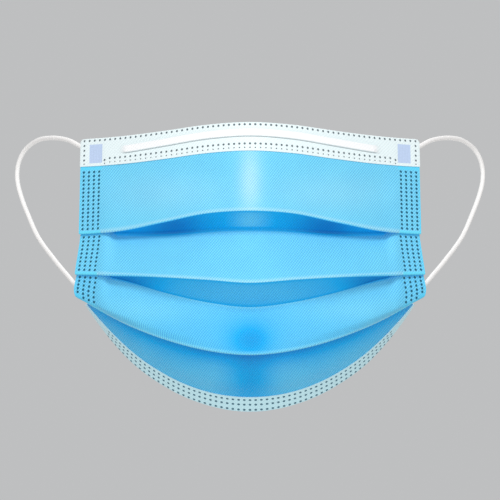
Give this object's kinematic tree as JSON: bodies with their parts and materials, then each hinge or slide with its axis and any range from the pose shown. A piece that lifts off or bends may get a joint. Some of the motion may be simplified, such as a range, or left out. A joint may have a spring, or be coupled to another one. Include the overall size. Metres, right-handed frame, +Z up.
{
  "type": "pleated face mask with ear loops",
  "caption": "Pleated cloth face mask: wired top strip, pleats opened over a hollow for nose and chin, bound bottom edge, and an elastic ear loop at each side.",
  "frame": {"origin": "on the inner wall, behind the middle of the nose wire, where the bridge of a nose rests", "axes": "+Z up, the front faces -Y, the hollow opens towards +Y, and +X is to the right seen from the front"},
  "size_m": [0.2052, 0.1121, 0.1254],
  "materials": {
    "blue_nonwoven": "point-bonded nonwoven, matte, white on the inner side",
    "white_nonwoven": "point-bonded nonwoven, matte",
    "pale_nonwoven": "thin white nonwoven over blue cloth",
    "coated_wire": "plastic over wire",
    "elastic": "knitted round elastic"
  },
  "bodies": {
    "root": {"mask_body": "blue_nonwoven", "top_binding": "white_nonwoven", "nose_wire": "coated_wire", "bottom_binding": "pale_nonwoven", "ear_loop_left": "elastic", "ear_loop_right": "elastic"}
  },
  "joints": []
}
